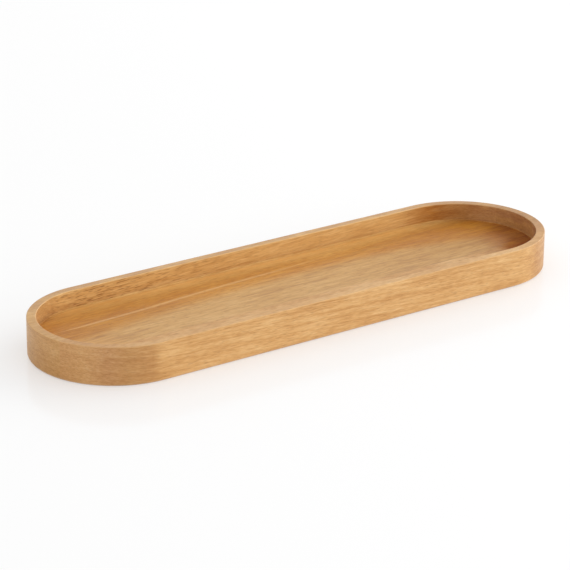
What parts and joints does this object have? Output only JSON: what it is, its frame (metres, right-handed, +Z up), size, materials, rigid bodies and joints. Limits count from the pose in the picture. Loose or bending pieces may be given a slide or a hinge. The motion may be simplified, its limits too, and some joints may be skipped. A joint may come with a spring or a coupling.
{
  "type": "oblong wooden coaster tray",
  "caption": "Long oblong wooden coaster tray with half-round ends and a shallow flat recess inside a thin rim, milled from an edge-glued blank, to stand mills or bottles on.",
  "frame": {"origin": "centre of the underside, on the surface that the tray stands on", "axes": "+X along the tray and the wood's grain, +Y from the front wall to the rear wall, +Z up out of the recess"},
  "size_m": [0.35, 0.1, 0.023],
  "materials": {
    "oiled_acacia": "sanded and oiled to a satin sheen"
  },
  "bodies": {
    "root": {"front_stave": "oiled_acacia", "middle_stave": "oiled_acacia", "rear_stave": "oiled_acacia"}
  },
  "joints": []
}
